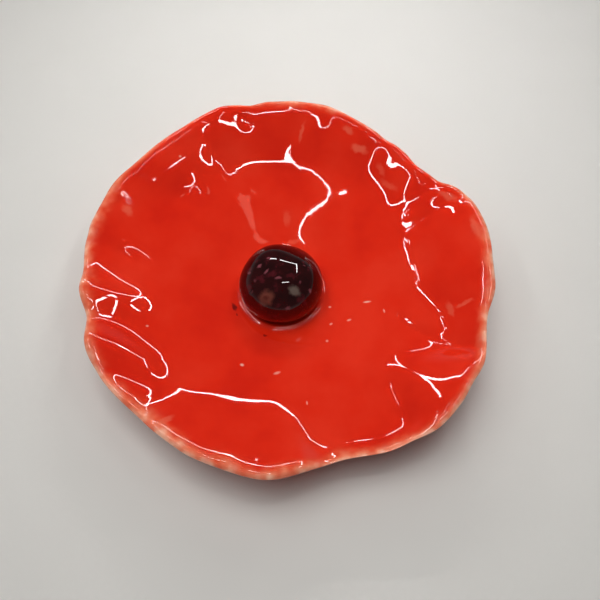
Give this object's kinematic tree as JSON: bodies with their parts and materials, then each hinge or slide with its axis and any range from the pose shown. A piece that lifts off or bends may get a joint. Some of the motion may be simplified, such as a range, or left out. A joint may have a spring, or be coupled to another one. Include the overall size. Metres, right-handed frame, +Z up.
{
  "type": "ceramic poppy flower",
  "caption": "Handmade glazed ceramic poppy: a shallow dished bloom with a wavy rim and a domed dark button in the middle, resting on a flat foot.",
  "frame": {"origin": "centre of the flat foot under the flower, on the surface it rests on, straight below the button", "axes": "+Z up out of the bloom; the rim's deepest notch lies about 35 degrees anticlockwise from +X and its highest lobe near 5 degrees"},
  "size_m": [0.1165, 0.116, 0.0228],
  "materials": {
    "petal_glaze": "high-gloss red glaze, pale where it breaks thin on the rim",
    "button_glaze": "high-gloss black glaze with burgundy mottling"
  },
  "bodies": {
    "root": {"petal_bowl": "petal_glaze", "centre_button": "button_glaze"}
  },
  "joints": []
}
